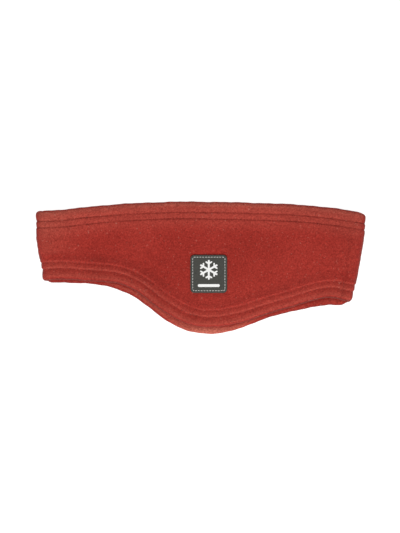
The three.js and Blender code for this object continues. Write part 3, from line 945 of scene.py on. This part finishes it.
for edge, lap in (("top", TOP_LAP_X), ("bottom", BOTTOM_LAP_X)):
    is_top = edge == "top"
    needle_row(f"{edge}_edge_stitching", f"{edge}_hem_edge_thread", is_top, EDGE_ROW, lap)
    needle_row(f"{edge}_inner_stitching", f"{edge}_hem_inner_thread", is_top, INNER_ROW, lap)
    looper(f"{edge}_looper_stitching", f"{edge}_hem_looper_thread", is_top, lap)


def nape_overlock():
    """Overlock thread over the turned-in allowance of the nape seam, between the hems."""
    loops = 9
    t = np.linspace(0.03, 0.97, loops * 16)
    p = SEAM_P + 2.9 * np.cos(2 * math.pi * loops * t)
    share = t + 0.012 * np.sin(4 * math.pi * loops * t)
    w = FLEECE + PANEL_LOFT + SEAM_TURN + 0.2 - 0.55 * np.abs(np.cos(2 * math.pi * loops * t)) ** 6
    line = settle(across(p, share, HEM_DEPTH + 1, w), p)
    line[:, 2] += hand(place(p, False, HEM_DEPTH + 1, 0.0))
    mesh = tube("nape_overlock", line, np.zeros_like(line) + UP, THREAD_RADIUS, 6)
    ridden(link("nape_overlock", mesh, red_thread), ["nape_seam_thread"])


nape_overlock()

# ---- The patch over the ear ----

PATCH_RADIUS = 3.2
PATCH_THICKNESS = 1.1
PATCH_BEVEL = 0.35
PATCH_LOFT = 0.06  # how far the patch's middle stands above its edge
STITCH_INSET = 1.75
STITCH_PITCH = 2.2
STITCH_VISIBLE = 1.4
STITCH_ARCH = [-0.34, -0.06, 0.10, 0.15, 0.10, -0.06, -0.34]
BORDER_THREAD_RADIUS = 0.30
PRINT_HEIGHT = 0.32
PRINT_BEVEL = 0.08
PRINT_SINK = 0.1


def rounded_ring(inset, steps=10):
    """The patch's outline drawn in by inset, centred on the patch."""
    r = max(PATCH_RADIUS - inset, 0.3)
    half = PATCH_SIZE[:2] / 2 - inset - r
    arcs = []
    for quarter, signs in enumerate([(1, 1), (-1, 1), (-1, -1), (1, -1)]):
        angle = np.linspace(0, math.pi / 2, steps) + quarter * math.pi / 2
        arcs.append(half * signs + r * np.stack([np.cos(angle), np.sin(angle)], axis=-1))
    share = np.linspace(0, 1, 26)[1:-1, None]
    ring = []
    for arc, following in zip(arcs, arcs[1:] + arcs[:1]):
        ring += [arc, arc[-1] + (following[0] - arc[-1]) * share]
    return np.concatenate(ring)


def patch_base():
    """The patch: a bevelled cloth badge, pulled in along its border stitches."""
    side = [(0.5, 0.0), (0.05, 0.0), (0.0, 0.12), (0.0, PATCH_THICKNESS - PATCH_BEVEL)]
    face = [(0.1, -0.12), (PATCH_BEVEL, 0.0), (0.9, 0.03)]
    face += [(1.4, -0.05), (STITCH_INSET, -0.16), (2.1, -0.05), (2.7, 0.03), (3.6, 0.05)]
    face += [(inset, PATCH_LOFT) for inset in (5.5, 8.0, 11.0, 13.4)]
    rings = side + [(inset, PATCH_THICKNESS + rise) for inset, rise in face]
    points = np.array([np.insert(rounded_ring(inset), 2, z, axis=1) for inset, z in rings])
    mesh = grid_mesh("patch", points + patch_origin, close_columns=True, caps=True)
    return ridden(link("ear_patch_badge", face_out(mesh), patch_cloth), ["ear_patch"])


def border_stitches():
    """Separate stitches round the border, each from hole to hole."""
    ring = rounded_ring(STITCH_INSET)
    closed = np.vstack([ring, ring[:1]])
    run = np.concatenate([[0], np.cumsum(np.linalg.norm(np.diff(closed, axis=0), axis=1))])
    count = round(run[-1] / STITCH_PITCH)
    along = np.linspace(-0.5, 0.5, len(STITCH_ARCH)) * STITCH_VISIBLE / STITCH_PITCH
    height = PATCH_THICKNESS - 0.08 + np.array(STITCH_ARCH)
    stitches = []
    for k in range(count):
        at = (k + along) * run[-1] / count
        flat = np.stack([np.interp(at % run[-1], run, closed[:, axis]) for axis in (0, 1)], axis=-1)
        line = np.column_stack([flat, height]) + patch_origin
        stitches.append(tube("stitch", line, np.zeros_like(line) + UP, BORDER_THREAD_RADIUS, 8))
    made = link("ear_patch_border_stitches", joined("border", stitches), grey_thread)
    return ridden(made, ["ear_patch_stitching"])


def printed(name, points, node):
    """A raised print: a filled outline with softly rounded edges, on the patch."""
    curve = bpy.data.curves.new(name, "CURVE")
    curve.dimensions, curve.fill_mode = "2D", "BOTH"
    curve.extrude = (PRINT_HEIGHT / 2 - PRINT_BEVEL) * MM
    curve.bevel_depth, curve.bevel_resolution, curve.offset = PRINT_BEVEL * MM, 2, -PRINT_BEVEL * MM
    spline = curve.splines.new("POLY")
    spline.points.add(len(points) - 1)
    for corner, (x, y) in zip(spline.points, points):
        corner.co = (x * MM, y * MM, 0, 1)
    spline.use_cyclic_u = True
    shaped = link(name, curve)
    mesh = bpy.data.meshes.new_from_object(shaped.evaluated_get(bpy.context.evaluated_depsgraph_get()))
    bpy.data.objects.remove(shaped)
    mesh.name = name
    mesh.materials.clear()
    lift = patch_origin + (0, 0, PATCH_THICKNESS + PATCH_LOFT + PRINT_HEIGHT / 2 - PRINT_SINK)
    for vertex in mesh.vertices:
        vertex.co += Vector(lift * MM)
    return ridden(link(name, mesh, white_print), [node])


def round_end(tip, direction, half_width, steps=5):
    """Points of a round end at tip, turning anticlockwise from its right side to its left."""
    facing = math.atan2(direction[1], direction[0])
    turn = facing + np.linspace(-math.pi / 2, math.pi / 2, steps)
    centre = np.array(tip) - half_width * np.array(direction)
    return [centre + half_width * np.array([math.cos(a), math.sin(a)]) for a in turn]


def snow_crystal():
    """Six arms, each with a pair of side branches, drawn as one outline."""
    reach = (crystal_high[1] - crystal_low[1]) / 2
    arm, branch, length = 0.75, 0.6, 3.0
    root = np.array([0.62 * reach, 0])
    third = math.pi / 3
    slant_cos, slant_sin = math.cos(third), math.sin(third)
    sector = [np.array([arm / math.tan(math.pi / 6), -arm])]
    for side in (-1, 1):
        along = np.array([slant_cos, side * slant_sin])
        off = np.array([slant_sin, -side * slant_cos])
        near = root - branch * off + along * (arm - branch * slant_cos) / slant_sin
        far = root + branch * off + along * (arm + branch * slant_cos) / slant_sin
        end = round_end(root + along * length, along, branch)
        if side < 0:
            sector += [near, *end, far]
            sector += round_end((reach, 0.0), (1.0, 0.0), arm)
        else:
            sector += [far, *end, near]
    points = []
    for k in range(6):
        a = k * third + third / 2
        turn = np.array([[math.cos(a), -math.sin(a)], [math.sin(a), math.cos(a)]])
        points += [turn @ point for point in sector]
    centre = (crystal_low + crystal_high)[:2] / 2 - PATCH_CENTRE[:2]
    printed("ear_patch_crystal", [point + centre for point in points], "patch_snow_crystal")


def rule():
    """A plain bar with round ends under the crystal."""
    length, width = (rule_high - rule_low)[:2]
    centre = (rule_low + rule_high)[:2] / 2 - PATCH_CENTRE[:2]
    ends = round_end((length / 2, 0.0), (1.0, 0.0), width / 2, 9)
    ends += round_end((-length / 2, 0.0), (-1.0, 0.0), width / 2, 9)
    printed("ear_patch_rule", [point + centre for point in ends], "patch_rule")


patch_base()
border_stitches()
snow_crystal()
rule()

# ---- The care tag ----

TAG_BOX_EXCESS = 5.0  # what the tag's tilt adds to its box, and a margin to the hems
TAG_WIDTH = tag_high[1] - tag_low[1] - TAG_BOX_EXCESS
TAG_LENGTH = 30.0  # of each half
TAG_FOLD_RADIUS = 0.38
TAG_THICKNESS = 0.22
TAG_TUCK = 1.5  # how far its ends go into the seam
TAG_CLEARANCE = 0.55  # above the panel's inner face


def care_tag():
    """A blank satin tag, folded in half, with both ends caught in the nape seam."""
    edge_p = SEAM_P - SEAM_HALF_WIDTH
    top = place(edge_p, True, HEM_DEPTH, FLEECE)
    bottom = place(edge_p, False, HEM_DEPTH, FLEECE)
    up = (top - bottom) / np.linalg.norm(top - bottom)
    along = np.array([up[1], -up[0], 0])
    out = np.linspace(0, 1, 30)
    back = out[::-1]
    rise = 1.1 * np.sin(math.pi * out * 0.8) + 0.25 * np.sin(7 * out)
    turn = np.linspace(-math.pi / 2, math.pi / 2, 9)[1:-1]
    fold_run = TAG_LENGTH + TAG_FOLD_RADIUS * np.cos(turn)
    fold_height = rise[-1] + TAG_FOLD_RADIUS * (1 + np.sin(turn))
    run = np.concatenate([out * TAG_LENGTH, fold_run, back * TAG_LENGTH])
    height = np.concatenate([rise, fold_height, rise[::-1] + 2 * TAG_FOLD_RADIUS + 0.3 * (1 - back)])
    width_share = np.linspace(-0.5, 0.5, 15)
    hump = np.sin(math.pi * np.clip(run / TAG_LENGTH, 0, 1))
    crown = 0.25 * np.cos(math.pi * width_share) * hump[:, None]
    base = (top + bottom) / 2 - TAG_TUCK * along + np.array([0, 0, PANEL_LOFT + TAG_CLEARANCE])
    points = base + run[:, None, None] * along + width_share[None, :, None] * TAG_WIDTH * up
    points[..., 2] += height[:, None] + crown
    tag = link("blank_care_tag", grid_mesh("tag", points), tag_satin)
    solid = tag.modifiers.new("cloth", "SOLIDIFY")
    solid.thickness = TAG_THICKNESS * MM
    solid.offset = 0
    ridden(tag, ["care_tag"])


care_tag()

# ---- Floor, light and camera ----

FLOOR_HALF = 4000
VIEW_HEIGHT = 409.744  # of what the camera sees at the top of the cloth
LENS = 100
CAMERA_X = -0.5
CAMERA_Y = 1.1


def floor():
    """A white table that glows a little, so it stays white under the shadows."""
    made, _, shader = material("white_light_table", (0.5, 0.5, 0.5), 0.9)
    shader.inputs["Emission Color"].default_value = (1, 1, 1, 1)
    shader.inputs["Emission Strength"].default_value = 0.8
    sides = (-FLOOR_HALF, FLOOR_HALF)
    mesh = grid_mesh("floor", np.array([[(x, y, 0.0) for x in sides] for y in sides]))
    plane = link("floor", mesh, made)
    plane.location.z = -FLOOR_GAP * MM


def area_light(name, place_m, size, power):
    """A round soft light aimed at the band; place and size in metres."""
    data = bpy.data.lights.new(name, "AREA")
    data.shape, data.size, data.energy = "DISK", size, power
    lamp = bpy.data.objects.new(name, data)
    lamp.location = place_m
    lamp.rotation_euler = (-Vector(place_m)).to_track_quat("-Z", "Y").to_euler()
    lamp.visible_camera = False
    scene.collection.objects.link(lamp)


def light():
    """A white room, a key light from the ear flap's side and a soft one overhead."""
    world = bpy.data.worlds.new("studio")
    world.use_nodes = True
    background = world.node_tree.nodes["Background"]
    background.inputs["Color"].default_value = (1, 1, 1, 1)
    background.inputs["Strength"].default_value = 0.37
    scene.world = world
    area_light("key", (0.1, -1.25, 1.0), 0.5, 18)
    area_light("overhead", (-0.1, 0.35, 1.8), 1.2, 7.5)


def camera():
    """Straight above, with the long side of the view upright."""
    data = bpy.data.cameras.new("camera")
    data.lens = LENS
    height = VIEW_HEIGHT * LENS / data.sensor_width + THICKNESS
    made = bpy.data.objects.new("camera", data)
    made.location = Vector((CAMERA_X, CAMERA_Y, height)) * MM
    scene.collection.objects.link(made)
    scene.camera = made


floor()
light()
camera()
scene.view_settings.view_transform = "Standard"
